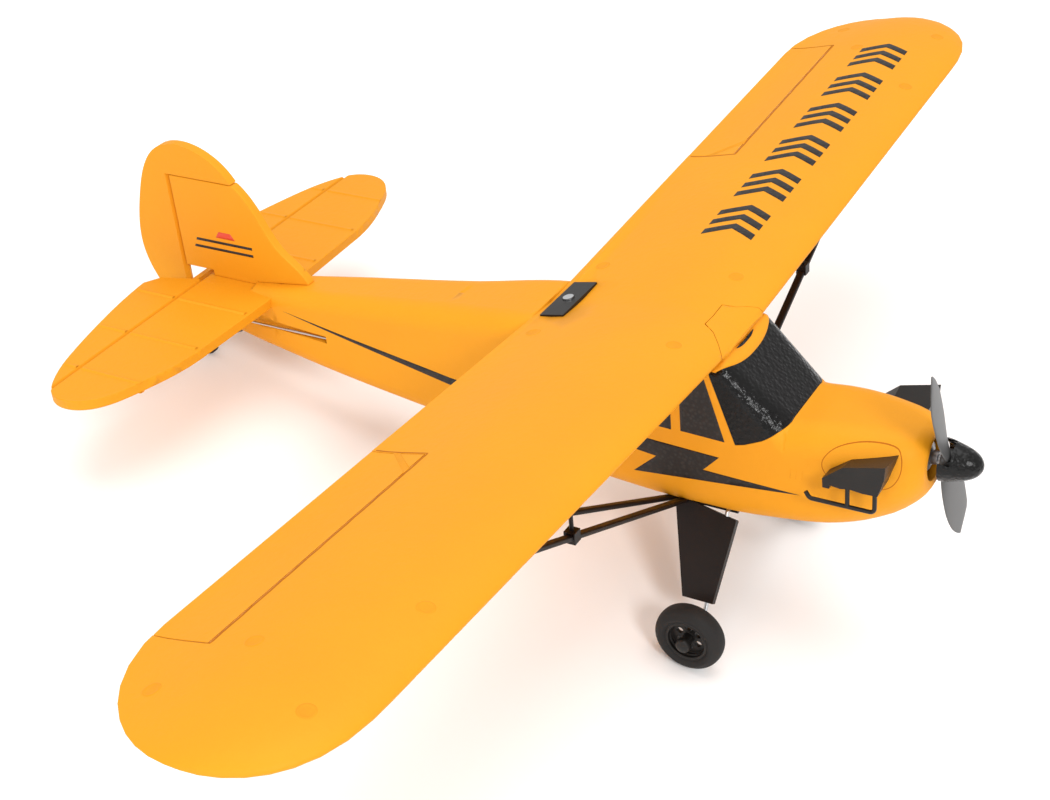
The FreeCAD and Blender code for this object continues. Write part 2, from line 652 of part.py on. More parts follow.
def along_thrust(y):
    """Local Z points forward (-Y) along the thrust line from station y."""
    return Placement(Vector(0, y, size("thrust_height")), Rotation(X_AXIS, 90))


def motor_parts():
    firewall = size("firewall")
    shaft_z = size("thrust_height")
    plate = block((-30, 30), (firewall, firewall + 3), (-80, -10))
    plate = plate.common(body_loft(NOSE_STATIONS, size("skin") + 0.1))
    bore = rod(Vector(0, firewall - 5, shaft_z), Vector(0, firewall + 8, shaft_z), 3)
    keep_shape("motor_mount", plate.cut(bore))
    turned_body("motor_stator", [("shaft_radius + running_gap", "0"), ("stator_radius + 3", "0"),
                                 ("stator_radius + 3", "2"), ("stator_radius", "2"), ("stator_radius", "12"),
                                 ("shaft_radius + running_gap", "12")], along_thrust(firewall))
    turned_body("motor_bell", [("0", "1"), ("shaft_radius", "1"), ("shaft_radius", "13"),
                               ("stator_radius + 0.8", "13"), ("stator_radius + 0.8", "4"),
                               ("bell_radius", "4"), ("bell_radius", "14"), ("6", "16.5"),
                               ("shaft_radius + 1.5", "17.5"), ("shaft_radius + 1.5", "20"),
                               ("shaft_radius", "20"), ("shaft_radius", "31"), ("0", "31")],
                along_thrust(firewall))
    heads = []
    for x in (-9.5, 9.5):
        for z in (shaft_z - 9.5, shaft_z + 9.5):
            heads.append(rod(Vector(x, firewall, z), Vector(x, firewall - 1.2, z), 1.6))
    for x in (-13, 13):
        for y in (9, 19):
            heads.append(rod(Vector(x, y, -81.8), Vector(x, y, -82.6), 1.8))
    keep_shape("mount_screws", Part.makeCompound(heads))


PROPELLER_TURN = -25.9


def propeller_parts():
    station, height = size("propeller_station"), size("thrust_height")
    hub_half = 3.4
    hub = Part.makeCylinder(size("hub_radius"), 2 * hub_half, Vector(0, station + hub_half, height),
                            Vector(0, -1, 0))
    blades = []
    # share of the radius, chord, pitch angle, thickness
    stations = [(0.07, 8, 24, 3.2), (0.2, 12.6, 17, 2.4), (0.35, 16, 12, 1.8), (0.52, 17, 10, 1.5),
                (0.68, 16.4, 9, 1.2), (0.82, 12.6, 9, 1.0), (0.94, 6.2, 8, 0.8), (1, 1.6, 8, 0.5)]
    for turn in (0, 180):
        wires = []
        for share, chord, pitch, thickness in stations:
            oval = [Vector(chord / 2 * math.cos(math.pi * k / 6), thickness / 2 * math.sin(math.pi * k / 6), 0)
                    for k in range(12)]
            height_at = Vector(0, 0, share * size("propeller_radius"))
            wires.append(smooth_loop([Rotation(Z_AXIS, pitch).multVec(p) + height_at for p in oval]))
        blade = Part.makeLoft(wires, True, False)
        blade.Placement = Placement(Vector(0, station, height), Rotation(Y_AXIS, turn + PROPELLER_TURN))
        blades.append(blade)
    bore = Part.makeCylinder(size("shaft_radius"), 20, Vector(0, station + 10, height), Vector(0, -1, 0))
    propeller = hub.fuse(blades).cut(bore)
    keep_shape("propeller", propeller)

    base, tip, radius = size("spinner_base"), size("spinner_tip"), size("spinner_radius")
    length = base - tip
    shares = [(0, 1), (0.4, 0.91), (0.66, 0.72), (0.86, 0.4), (0.97, 0.15), (1, 0)]
    profile = [Vector(radius * across, 0, length * along) for across, along in shares]
    arc = Part.BSplineCurve()
    arc.interpolate(profile)
    lines = Part.makePolygon([profile[-1], Vector(0, 0, 0), profile[0]])
    solid = Part.Face(Part.Wire([arc.toShape(), *lines.Edges])).revolve(Vector(), Z_AXIS, 360)
    hollow = Part.makeCone(radius - 1.6, radius * 0.55, length * 0.62, Vector(0, 0, -0.01))
    solid = solid.cut(hollow)
    solid.Placement = along_thrust(base)
    slots = block((-6.4, 6.4), (station - 3.4, base + 1), (height - 20, height + 20))
    slots.Placement = Placement(Vector(), Rotation(Y_AXIS, PROPELLER_TURN), Vector(0, 0, height))
    solid = solid.cut(slots)
    keep_shape("spinner", max(solid.Solids, key=lambda s: s.Volume))


def engine_outline(x, sink):
    """Side view of a cylinder-head cover at x, its upper edge lowered by sink."""
    points = [(-75, -26.5 - sink), (-57, -31 - sink), (-48.2, -38.5 - sink / 2), (-48.4, -43), (-51.3, -43),
              (-51.5, -41.2), (-56, -41.8), (-60, -41), (-65.3, -41.6), (-72, -41.4), (-74.5, -33)]
    corners = [Vector(x, y, z) for y, z in points]
    return Part.makePolygon(corners + corners[:1])


def dummy_engines():
    """Cylinder-head covers on both cheeks, each with its exhaust pipe."""
    for name, side in (("left", 1), ("right", -1)):
        def at(x, y, z):
            return Vector(side * x, y, z)
        head = Part.makeLoft([engine_outline(17 * side, 4), engine_outline(34 * side, 0)], True, True)
        pipe = bent_rod([at(32, -70.2, -38), at(32, -70.2, -51.2), at(32, -42, -51.4), at(32, -40.3, -48.6)],
                        0.95, 2.2)
        stub = rod(at(32, -58.5, -38), at(32, -58.5, -50.6), 0.95)
        engine = head.fuse([pipe, stub]).cut(body_loft(NOSE_STATIONS))
        keep_shape(f"{name}_dummy_engine", max(engine.Solids, key=lambda solid: solid.Volume))


# ---- undercarriage --------------------------------------------------------------------------------------

LEG_TOP, LEG_BOTTOM = (18, -80), (46, -119.1)


def gear_block_solid():
    """Block that clamps the gear wire, with a raised rest pad between the legs."""
    holder = block((-16, 16), (-2, 28), (-81.8, -76.4))
    return holder.fuse(block((-10, 10), (2, 26), (-82.8, -80)))


def gear_wire_points():
    y = size("wheel_station")
    end = size("wheel_track") + size("wheel_width") / 2 + 2.6
    half = [Vector(end, y, size("wheel_height")), Vector(LEG_BOTTOM[0], y, LEG_BOTTOM[1]),
            Vector(LEG_TOP[0], y, LEG_TOP[1])]
    return half + [Vector(-p.x, p.y, p.z) for p in reversed(half)]


def gear_wire_channel():
    return bent_rod(gear_wire_points(), size("axle_radius") + 0.05, 2.2)


def undercarriage():
    wire = bent_rod(gear_wire_points(), size("axle_radius"), 2.2)
    channel = gear_wire_channel()
    keep_shape("gear_wire", wire)
    holder = gear_block_solid().cut(channel)
    keep_shape("gear_block", max(holder.Solids, key=lambda solid: solid.Volume))
    lean = math.degrees(math.atan2(LEG_BOTTOM[0] - LEG_TOP[0], LEG_TOP[1] - LEG_BOTTOM[1]))
    half = size("fairing_thickness") / 2
    for name, side in (("left", 1), ("right", -1)):
        plate = prism_along_x([(-3.5, -3.2), (27.4, 2), (13.4, -41.4), (-1.2, -41.4)], -half, half)
        plate.Placement = Placement(Vector(side * LEG_TOP[0], 0, LEG_TOP[1]), Rotation(Y_AXIS, -side * lean))
        fairing = plate.cut([channel, gear_block_solid(), body_loft(BODY_STATIONS)])
        keep_shape(f"{name}_leg_fairing", max(fairing.Solids, key=lambda solid: solid.Volume))
        wheel(name, side)
    collars = []
    for side in (-1, 1):
        for offset in (-size("wheel_width") / 2 - 2.4, size("wheel_width") / 2 + 0.4):
            x = side * size("wheel_track") + offset
            outer = rod(Vector(x, size("wheel_station"), size("wheel_height")),
                        Vector(x + 2, size("wheel_station"), size("wheel_height")), 2.2)
            collars.append(outer.cut(wire))
    keep_shape("axle_collars", Part.makeCompound(collars))


def wheel(name, side):
    """Balloon tyre on a dished rim, both turned about the axle."""
    place = Placement(Vector(side * size("wheel_track"), size("wheel_station"), size("wheel_height")),
                      Rotation(Y_AXIS, 90))
    radius, width, rim = size("wheel_radius"), size("wheel_width"), size("rim_radius")
    bulge = width / 2
    points = [Vector(rim, 0, -bulge * 0.72), Vector(rim + 1.6, 0, -bulge * 0.95),
              Vector(radius - 2.0, 0, -bulge * 0.86), Vector(radius - 0.4, 0, -bulge * 0.45),
              Vector(radius, 0, 0), Vector(radius - 0.4, 0, bulge * 0.45), Vector(radius - 2.0, 0, bulge * 0.86),
              Vector(rim + 1.6, 0, bulge * 0.95), Vector(rim, 0, bulge * 0.72)]
    curve = Part.BSplineCurve()
    curve.interpolate(points)
    wire = Part.Wire([curve.toShape(), Part.LineSegment(points[-1], points[0]).toShape()])
    keep_shape(f"{name}_tyre", Part.Face(wire).revolve(Vector(), Z_AXIS, 360), place)
    lip = f"{bulge * 0.72}"
    hub_profile = [("axle_radius + running_gap", f"{-bulge}"), ("2.6", f"{-bulge}"), ("2.6", "-1"),
                   ("rim_radius - 1.6", "-1"), ("rim_radius - 1.2", f"-{lip}"), ("rim_radius", f"-{lip}"),
                   ("rim_radius", lip), ("rim_radius - 1.2", lip), ("rim_radius - 1.6", "1"), ("2.6", "1"),
                   ("2.6", f"{bulge}"), ("axle_radius + running_gap", f"{bulge}")]
    hub = turned_body(f"{name}_hub_blank", hub_profile, Placement(), loose=True)
    holes = []
    for index in range(6):
        angle = math.radians(60 * index)
        holes.append(cylinder(f"{name}_hub_hole_{index}", "1.5", "12",
                              Placement(Vector(5 * math.cos(angle), 5 * math.sin(angle), -6), Rotation())))
    cut = joined("Part::Cut", f"{name}_hub_cut", hub, fused(f"{name}_hub_holes", holes))
    keep(f"{name}_hub", cut, place)


def wing_underside(x, u, drop=0):
    """Point on the wing's underside at local span x and chord station u."""
    side = 1 if x > 0 else -1
    turn = left_wing_turn if side > 0 else right_wing_turn
    return turn.multVec(Vector(x, u, -size("nose_height") - drop))


def strut_bar(start, end, width, thickness):
    direction = end - start
    bar = Part.makeBox(width, thickness, direction.Length + 4, Vector(-width / 2, -thickness / 2, -2))
    bar = bar.makeFillet(thickness * 0.4, [bar.Edges[i] for i in (0, 2, 4, 6)])
    bar.Placement = aimed(start, direction, Y_AXIS)
    return bar


def wing_struts():
    jury_struts = []
    for name, side in (("left", 1), ("right", -1)):
        turn = left_wing_turn if side > 0 else right_wing_turn
        above = block((-30, 400) if side > 0 else (-400, 30), (-50, 150), (-size("nose_height"), 60))
        above.Placement = turn
        inboard = [gear_block_solid(), body_loft(BODY_STATIONS), parts[f"{name}_leg_fairing"].Shape]
        bars = {}
        for which, root_y, reach, wing_y in (("front", 22.4, 202, 22), ("rear", 27.4, 197, 60)):
            start, end = Vector(side * 16, root_y, -80.3), wing_underside(side * reach, wing_y)
            bar = strut_bar(start, end, size("strut_chord"), size("strut_thickness"))
            foot = block((side * reach - 6, side * reach + 6), (wing_y - 3, wing_y + 3),
                         (-size("nose_height") - 1.6, -size("nose_height")))
            foot.Placement = turn
            bar = bar.fuse(foot).cut(above).cut(inboard)
            bars[which] = max(bar.Solids, key=lambda solid: solid.Volume)
        front, rear = bars["front"], bars["rear"]
        rear = rear.cut(front)
        keep_shape(f"{name}_front_strut", front)
        keep_shape(f"{name}_rear_strut", max(rear.Solids, key=lambda solid: solid.Volume))
        share = 0.547
        root, top = Vector(side * 16, 22.4, -80.3), wing_underside(side * 202, 22)
        knot = root + (top - root) * share
        post = rod(knot, wing_underside(knot.x, knot.y) + Vector(0, 0, 2), 0.9)
        clip = block((knot.x - 2.4, knot.x + 2.4), (knot.y - 2.5, knot.y + 2.5), (knot.z - 1.9, knot.z + 3.4))
        jury = post.fuse(clip).cut(front).cut(above)
        jury_struts.append(max(jury.Solids, key=lambda solid: solid.Volume))
    keep_shape("jury_struts", Part.makeCompound(jury_struts))


def tail_wheel_parts():
    hinge, wire = size("rudder_hinge"), size("tail_wire_radius")
    axle_y, axle_z = hinge - 1, size("tail_wheel_height")
    bracket = block((-3.4, 3.4), (278, 303.5), (-61, -44)).cut(body_loft(BODY_STATIONS))
    bracket = max(bracket.Solids, key=lambda solid: solid.Volume)
    bracket = bracket.cut(prism_along_x([(277, -64), (277, -55), (297, -64)], -5, 5))
    eye = block((-2.4, 2.4), (300, hinge + 5.4), (-59.6, -56.3))
    bore = rod(Vector(0, hinge, -70), Vector(0, hinge, -40), wire + size("running_gap"))
    keep_shape("tail_wheel_bracket", bracket.fuse(eye).cut(bore))
    fork_x = size("tail_wheel_width") / 2 + 1.4
    leg = bent_rod([Vector(0, hinge + 3, -47), Vector(0, hinge + 3, -55.15), Vector(0, hinge, -55.15),
                    Vector(0, hinge, -61), Vector(fork_x, axle_y, -63), Vector(fork_x, axle_y, axle_z),
                    Vector(-2.9, axle_y, axle_z)], wire, 0.72)
    keep_shape("tail_wheel_leg", leg)
    turned_body("tail_wheel", [("tail_wire_radius + running_gap", "-tail_wheel_width/2"),
                               ("tail_wheel_radius - 1.4", "-tail_wheel_width/2"),
                               ("tail_wheel_radius", "-tail_wheel_width/4"),
                               ("tail_wheel_radius", "tail_wheel_width/4"),
                               ("tail_wheel_radius - 1.4", "tail_wheel_width/2"),
                               ("tail_wire_radius + running_gap", "tail_wheel_width/2")],
                Placement(Vector(0, axle_y, axle_z), Rotation(Y_AXIS, 90)))


# ---- equipment inside ---------------------------------------------------------------------------------------

def inner_equipment():
    battery = box("battery_pack", "battery_width", "battery_length", "battery_height",
                  Placement(Vector(-size("battery_width") / 2, -14, -73.7), Rotation()))
    keep("battery", battery, battery.Placement)
    board = box("control_board", "26", "24", "6", Placement(Vector(-13, 38, -72.5), Rotation()))
    keep("flight_controller", board, board.Placement)
    # tray across the tunnel: a floor with a well for the rudder servo and a stand for the elevator servo
    floor = block((-30, 30), (70, 118), (-50, -48)).common(body_loft(BODY_STATIONS, size("skin")))
    floor = floor.cut(block((-4.1, 4.1), (76.9, 97.1), (-60, -40)))
    stand = block((-8, 6), (99, 116), (-48, size("tail_height") - size("servo_width") / 2))
    keep_shape("servo_tray", floor.fuse(stand))
    turned_body("wing_screw", [("0", "0"), ("head_radius", "0"), ("head_radius", "-1.6"),
                               ("screw_radius", "-1.6"), ("screw_radius", "-16"), ("0", "-16")],
                plate_turn.multiply(Placement(Vector(0, 0, 2), Rotation())))


# ---- build ---------------------------------------------------------------------------------------------

def build():
    tongue = wing_parts()
    screw_plate()
    for name, side in (("left", 1), ("right", -1)):
        aileron_linkage(name, side)
    stabiliser = tail_parts()
    body_solid = fuselage_parts(stabiliser)
    fin_and_rudder(body_solid, stabiliser)
    hatch_parts(tongue)
    cowl()
    motor_parts()
    propeller_parts()
    dummy_engines()
    undercarriage()
    wing_struts()
    tail_wheel_parts()
    elevator_joiner()
    elevator_linkage()
    rudder_linkage()
    inner_equipment()


build()
doc.recompute()


def stance_pitch():
    """Nose-up angle that puts the main wheels and the tail wheel on one floor."""
    rise = size("wheel_height") - size("tail_wheel_height")
    reach = (size("rudder_hinge") - 1) - size("wheel_station")
    drop = size("wheel_radius") - size("tail_wheel_radius")
    return math.degrees(math.asin(drop / math.hypot(rise, reach)) - math.atan2(rise, reach))


def stand(parts):
    """Tilt every sub-part into the stance and put the origin at the box's bottom centre."""
    tilt = Placement(Vector(), Rotation(X_AXIS, -stance_pitch()))
    low, high = [math.inf] * 3, [-math.inf] * 3
    for item in parts.values():
        points = item.Shape.transformed(tilt.toMatrix()).tessellate(0.02)[0]
        for axis in range(3):
            low[axis] = min(low[axis], min(point[axis] for point in points))
            high[axis] = max(high[axis], max(point[axis] for point in points))
    shift = Vector(0, -(low[1] + high[1]) / 2, -low[2])
    stance = Placement(shift, Rotation()).multiply(tilt)
    for item in parts.values():
        item.Placement = stance.multiply(item.Placement)
    print("pitch", round(stance_pitch(), 3), "shift", [round(v, 3) for v in shift], "width", high[0] - low[0])


stand(parts)
failed = [item.Label for item in doc.Objects if "Invalid" in item.State or "Error" in item.State]
if failed:
    raise RuntimeError(f"failed objects: {failed}")
os.makedirs("parts", exist_ok=True)
for name, item in parts.items():
    if item.Shape.isNull() or not item.Shape.isValid() or not item.Shape.Solids:
        raise RuntimeError(f"bad shape: {name}")
    item.Shape.exportStep(f"parts/{name}.step")
print(len(parts), "sub-parts")
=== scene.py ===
"""Looks of the foam airplane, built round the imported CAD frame.

Shapes are worked out in the flight frame, in millimetres: origin at the wing root's leading edge, +X to the
left wing tip, nose towards -Y, +Z up. STANCE carries them into the row frame, in metres.
"""
import json
import math

import bmesh
import bpy
from mathutils import Matrix, Vector
from mathutils.bvhtree import BVHTree


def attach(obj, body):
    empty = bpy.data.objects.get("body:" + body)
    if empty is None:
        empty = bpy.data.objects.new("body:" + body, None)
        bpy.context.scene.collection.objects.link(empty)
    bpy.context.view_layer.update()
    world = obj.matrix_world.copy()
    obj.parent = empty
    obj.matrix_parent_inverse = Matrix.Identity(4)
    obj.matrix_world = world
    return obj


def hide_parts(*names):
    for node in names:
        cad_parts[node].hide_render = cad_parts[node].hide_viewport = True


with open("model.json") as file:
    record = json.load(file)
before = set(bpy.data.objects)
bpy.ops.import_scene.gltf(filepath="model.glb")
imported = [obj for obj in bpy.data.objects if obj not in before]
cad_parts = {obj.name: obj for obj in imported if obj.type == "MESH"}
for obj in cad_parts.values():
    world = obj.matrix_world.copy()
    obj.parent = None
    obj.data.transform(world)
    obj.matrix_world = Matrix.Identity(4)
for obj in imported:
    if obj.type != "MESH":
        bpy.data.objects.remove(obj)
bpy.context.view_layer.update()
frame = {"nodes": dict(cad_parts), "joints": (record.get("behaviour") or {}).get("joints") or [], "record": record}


# ---- the flight frame, read from the propeller's joint ---------------------------------------------------

MM = 0.001
spin = next(j for j in frame["joints"] if j["name"] == "propeller_spin")
PITCH = math.atan2(spin["axis"][2], -spin["axis"][1])
TILT = Matrix.Rotation(-PITCH, 4, "X")
SHAFT_START = Vector((0, -62, -40))
ORIGIN = Vector(spin["pos_m"]) - TILT @ (SHAFT_START * MM)
STANCE = Matrix.Translation(ORIGIN) @ TILT @ Matrix.Scale(MM, 4)
DIHEDRAL = math.radians(3.36)
DOWN, UP = Vector((0, 0, -1)), Vector((0, 0, 1))


# ---- camera, floor and light -----------------------------------------------------------------------------

def look_from(right, up, place, focal_share):
    """Camera at a flight-frame place; right and up are its image axes, focal_share is focal length / width."""
    data = bpy.data.cameras.new("photo_view")
    camera = bpy.data.objects.new("photo_view", data)
    bpy.context.scene.collection.objects.link(camera)
    right, up = Vector(right).normalized(), Vector(up).normalized()
    up = (up - right * up.dot(right)).normalized()
    turn = Matrix((right, up, right.cross(up))).transposed().to_4x4()
    camera.matrix_world = Matrix.Translation(STANCE @ Vector(place)) @ TILT @ turn
    data.sensor_width = 36
    data.lens = 36 * focal_share
    data.clip_start, data.clip_end = 0.01, 50
    bpy.context.scene.camera = camera


def area_light(name, place, target, size, power, color=(1, 1, 1)):
    data = bpy.data.lights.new(name, "AREA")
    data.shape, data.size, data.energy, data.color = "DISK", size, power, color
    lamp = bpy.data.objects.new(name, data)
    bpy.context.scene.collection.objects.link(lamp)
    direction = Vector(target) - Vector(place)
    lamp.matrix_world = Matrix.Translation(place) @ direction.to_track_quat("-Z", "Y").to_matrix().to_4x4()


look_from(right=(0.4943, -0.8652, -0.084), up=(0.4976, 0.2024, 0.8435), place=(-597.8, -271.2, 385.5),
          focal_share=1.6984)
MIDDLE = (0, 0, 0.08)
area_light("key", (-1.3, -1.5, 1.7), MIDDLE, 0.6, 25)
area_light("top", (0.2, 0.2, 2.6), MIDDLE, 2.4, 32)
area_light("side", (-2.4, 0.3, 0.9), MIDDLE, 1.2, 12)
world = bpy.data.worlds.new("studio")
bpy.context.scene.world = world
world.use_nodes = True
world.node_tree.nodes["Background"].inputs[0].default_value = (1, 1, 1, 1)
world.node_tree.nodes["Background"].inputs[1].default_value = 0.86
bpy.context.scene.view_settings.view_transform = "Standard"


# ---- materials -------------------------------------------------------------------------------------------

SPECK_SCALE = 520   # light points per metre


def material(name, color, rough, spread=0.06, patch=18, cells=0, cell_depth=0.03, grain=0, grain_depth=0.01,
             metal=0.0, specular=0.5, coat=0.0, speck=0.0, stretch=(1, 1, 1)):
    """Procedural finish: colour that drifts over patches, moulded cells and a fine grain in the bump.

    spread is the drift of the colour, patch its frequency per metre, cells and grain frequencies per metre,
    cell_depth and grain_depth are heights in millimetres, speck lightens scattered points.
    """
    finish = bpy.data.materials.new(name)
    finish.use_nodes = True
    tree = finish.node_tree
    shader = tree.nodes["Principled BSDF"]
    shader.inputs["Metallic"].default_value = metal
    shader.inputs["Specular IOR Level"].default_value = specular
    shader.inputs["Coat Weight"].default_value = coat
    shader.inputs["Coat Roughness"].default_value = 0.18
    link = tree.links.new
    place = tree.nodes.new("ShaderNodeTexCoord")
    mapping = tree.nodes.new("ShaderNodeMapping")
    mapping.inputs["Scale"].default_value = stretch
    link(place.outputs["Object"], mapping.inputs["Vector"])
    at = mapping.outputs["Vector"]

    drift = tree.nodes.new("ShaderNodeTexNoise")
    drift.inputs["Scale"].default_value = patch
    drift.inputs["Detail"].default_value = 6
    drift.inputs["Roughness"].default_value = 0.65
    link(at, drift.inputs["Vector"])
    ramp = tree.nodes.new("ShaderNodeValToRGB")
    low = [channel * (1 - spread) for channel in color]
    high = [min(channel * (1 + spread), 1) for channel in color]
    ramp.color_ramp.elements[0].position, ramp.color_ramp.elements[1].position = 0.3, 0.7
    ramp.color_ramp.elements[0].color = (*low, 1)
    ramp.color_ramp.elements[1].color = (*high, 1)
    link(drift.outputs["Fac"], ramp.inputs["Fac"])
    shade = ramp.outputs["Color"]
    if speck:
        dots = tree.nodes.new("ShaderNodeTexVoronoi")
        dots.inputs["Scale"].default_value = SPECK_SCALE
        link(at, dots.inputs["Vector"])
        share = tree.nodes.new("ShaderNodeMapRange")
        share.inputs["From Min"].default_value, share.inputs["From Max"].default_value = 0.0, 0.55
        share.inputs["To Min"].default_value, share.inputs["To Max"].default_value = speck, 0.0
        link(dots.outputs["Distance"], share.inputs["Value"])
        mix = tree.nodes.new("ShaderNodeMix")
        mix.data_type = "RGBA"
        link(share.outputs["Result"], mix.inputs["Factor"])
        link(shade, mix.inputs["A"])
        mix.inputs["B"].default_value = (*[min(channel * 2.2 + 0.03, 1) for channel in color], 1)
        shade = mix.outputs["Result"]
    link(shade, shader.inputs["Base Color"])

    polish = tree.nodes.new("ShaderNodeMapRange")
    polish.inputs["To Min"].default_value = max(rough - 0.08, 0.04)
    polish.inputs["To Max"].default_value = min(rough + 0.08, 1)
    link(drift.outputs["Fac"], polish.inputs["Value"])
    link(polish.outputs["Result"], shader.inputs["Roughness"])

    normal = None
    if cells:
        beads = tree.nodes.new("ShaderNodeTexVoronoi")
        beads.feature = "SMOOTH_F1"
        beads.inputs["Scale"].default_value = cells
        link(at, beads.inputs["Vector"])
        normal = bump(tree, beads.outputs["Distance"], cell_depth, normal, invert=True)
    if grain:
        fine = tree.nodes.new("ShaderNodeTexNoise")
        fine.inputs["Scale"].default_value = grain
        fine.inputs["Detail"].default_value = 3
        link(at, fine.inputs["Vector"])
        normal = bump(tree, fine.outputs["Fac"], grain_depth, normal)
    if normal:
        link(normal, shader.inputs["Normal"])
    return finish


def bump(tree, height, depth, before, invert=False):
    """Bump node of a depth in millimetres, chained after the normal before it."""
    node = tree.nodes.new("ShaderNodeBump")
    node.invert = invert
    node.inputs["Strength"].default_value = 1
    node.inputs["Distance"].default_value = depth * MM
    tree.links.new(height, node.inputs["Height"])
    if before:
        tree.links.new(before, node.inputs["Normal"])
    return node.outputs["Normal"]


FOAM = (0.72, 0.282, 0.0075)
FINISHES = {
    "foam_yellow": material("foam_yellow", FOAM, 0.56, 0.035, 14, cells=330, cell_depth=0.10, grain=900,
                            grain_depth=0.05, specular=0.2),
    "gloss_black": material("gloss_black", (0.0035, 0.0032, 0.003), 0.2, 0.2, 40, cells=620, cell_depth=0.36,
                            grain=1700, grain_depth=0.1, specular=0.24),
    "black_plastic": material("black_plastic", (0.0085, 0.007, 0.006), 0.4, 0.25, 60, grain=1500,
                              grain_depth=0.03, specular=0.3),
    "brown_black_plastic": material("brown_black_plastic", (0.0075, 0.0038, 0.003), 0.46, 0.35, 45, grain=1100,
                                    grain_depth=0.05, specular=0.25),
    "servo_plastic": material("servo_plastic", (0.02, 0.022, 0.028), 0.4, 0.2, 50, grain=1300),
    "white_plastic": material("white_plastic", (0.78, 0.77, 0.74), 0.4, 0.04, 50, grain=1200),
    "steel": material("steel", (0.56, 0.57, 0.58), 0.3, 0.1, 120, grain=2200, metal=1.0, stretch=(1, 1, 4)),
    "motor_metal": material("motor_metal", (0.33, 0.33, 0.34), 0.36, 0.12, 150, grain=1800, metal=1.0),
    "propeller_grey": material("propeller_grey", (0.062, 0.0605, 0.0595), 0.42, 0.05, 30, grain=900,
                               grain_depth=0.02, specular=0.45),
    "grey_plastic": material("grey_plastic", (0.09, 0.08, 0.082), 0.34, 0.15, 50, grain=1200, specular=0.5),
    "tyre_black": material("tyre_black", (0.0125, 0.0108, 0.01), 0.72, 0.25, 60, cells=700, cell_depth=0.04,
                           grain=1600, grain_depth=0.05, specular=0.3),
    "carbon": material("carbon", (0.02, 0.02, 0.021), 0.35, 0.4, 300, grain=2500, stretch=(0.1, 1, 1)),
    "battery_wrap": material("battery_wrap", (0.03, 0.06, 0.16), 0.35, 0.08, 30, grain=800),
    "circuit_board": material("circuit_board", (0.02, 0.1, 0.04), 0.45, 0.2, 200, grain=1500),
}
DECAL_BLACK = material("decal_black", (0.0125, 0.0085, 0.0065), 0.5, 0.2, 40, cells=420, cell_depth=0.12,
                       grain=1100, grain_depth=0.05, specular=0.35, speck=0.35)
DECAL_RED = material("decal_red", (0.62, 0.05, 0.02), 0.5, 0.06, 40, cells=420, cell_depth=0.05)
# painted shade: the dark orange of seams and panel lines stands in for the shade in their grooves
CREASE_SHADE = material("foam_crease_painted_shade", (0.42, 0.12, 0.004), 0.7, 0.12, 160, cells=600, cell_depth=0.05, specular=0.15)
# painted shade: the slightly darker foam of mould marks and vents stands in for the shade in their shallow dents
SOFT_CREASE_SHADE = material("foam_soft_crease_painted_shade", (0.685, 0.262, 0.007), 0.66, 0.06, 120, cells=500, cell_depth=0.05,
                       specular=0.2)
FLOOR = material("floor_paper", (0.95, 0.95, 0.95), 0.9, 0.003, 3, grain=300, specular=0.05)

paper = bpy.data.meshes.new("floor")
FLOOR_HALF = 6   # m
paper.from_pydata([(-FLOOR_HALF, -FLOOR_HALF, 0), (FLOOR_HALF, -FLOOR_HALF, 0), (FLOOR_HALF, FLOOR_HALF, 0),
                   (-FLOOR_HALF, FLOOR_HALF, 0)], [], [(0, 1, 2, 3)])
paper.materials.append(FLOOR)
floor = bpy.data.objects.new("floor", paper)
bpy.context.scene.collection.objects.link(floor)

slots = {item["node"]: item["material_slot"] for item in frame["record"]["subparts"]}
bodies_of = {node: body for body, names in frame["record"]["behaviour"]["bodies"].items() for node in names}
for node, part in frame["nodes"].items():
    part.data.materials.clear()
    part.data.materials.append(FINISHES[slots[node]])


# ---- mesh helpers ----------------------------------------------------------------------------------------

def finished(name, mesh_data, body, finish, node=None, sharp=35):
    """Makes an object of a bmesh, shades it smooth up to an angle and lets it ride on a body."""
    mesh = bpy.data.meshes.new(name)
    mesh_data.to_mesh(mesh)
    mesh_data.free()
    piece = bpy.data.objects.new(name, mesh)
    bpy.context.scene.collection.objects.link(piece)
    mesh.materials.append(finish)
    mesh.shade_smooth()
    mesh.set_sharp_from_angle(angle=math.radians(sharp))
    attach(piece, body)
    if node:
        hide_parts(node)
    return piece


looks = {}   # node name: the piece that stands for it


def tree_of(*nodes):
    """Search tree over the shown surfaces of nodes, in the row frame."""
    points, faces = [], []
    for node in nodes:
        mesh = looks.get(node, frame["nodes"][node]).data
        start = len(points)
        points += [vertex.co.copy() for vertex in mesh.vertices]
        faces += [[start + index for index in face.vertices] for face in mesh.polygons]
    return BVHTree.FromPolygons(points, faces)


CAST_FROM = 80   # mm before the point, clear of every surface


def land(tree, point, direction, lift):
    """Row-frame place where a flight-frame point falls on a surface along direction, lifted off it in mm."""
    start = STANCE @ (point - direction * CAST_FROM)
    along = (TILT @ direction).normalized()
    spot, normal, _, _ = tree.ray_cast(start, along)
    if spot is None:
        spot, normal, _, _ = tree.find_nearest(STANCE @ point)
    if normal.dot(along) > 0:
        normal = -normal
    return spot + normal * (lift * MM)


def tiled(outline, step):
    """Flat outline in (a, b), cut up by a square grid of that step."""
    mesh = bmesh.new()
    mesh.faces.new([mesh.verts.new((a, b, 0)) for a, b in outline])
    bmesh.ops.triangulate(mesh, faces=mesh.faces[:])
    for axis in (0, 1):
        values = [point[axis] for point in outline]
        count = int((max(values) - min(values)) / step)
        for i in range(1, count + 1):
            spot, normal = Vector(), Vector()
            spot[axis], normal[axis] = min(values) + i * step - step / 2, 1
            bmesh.ops.bisect_plane(mesh, geom=mesh.verts[:] + mesh.edges[:] + mesh.faces[:], plane_co=spot,
                                   plane_no=normal, dist=1e-4)
    return mesh


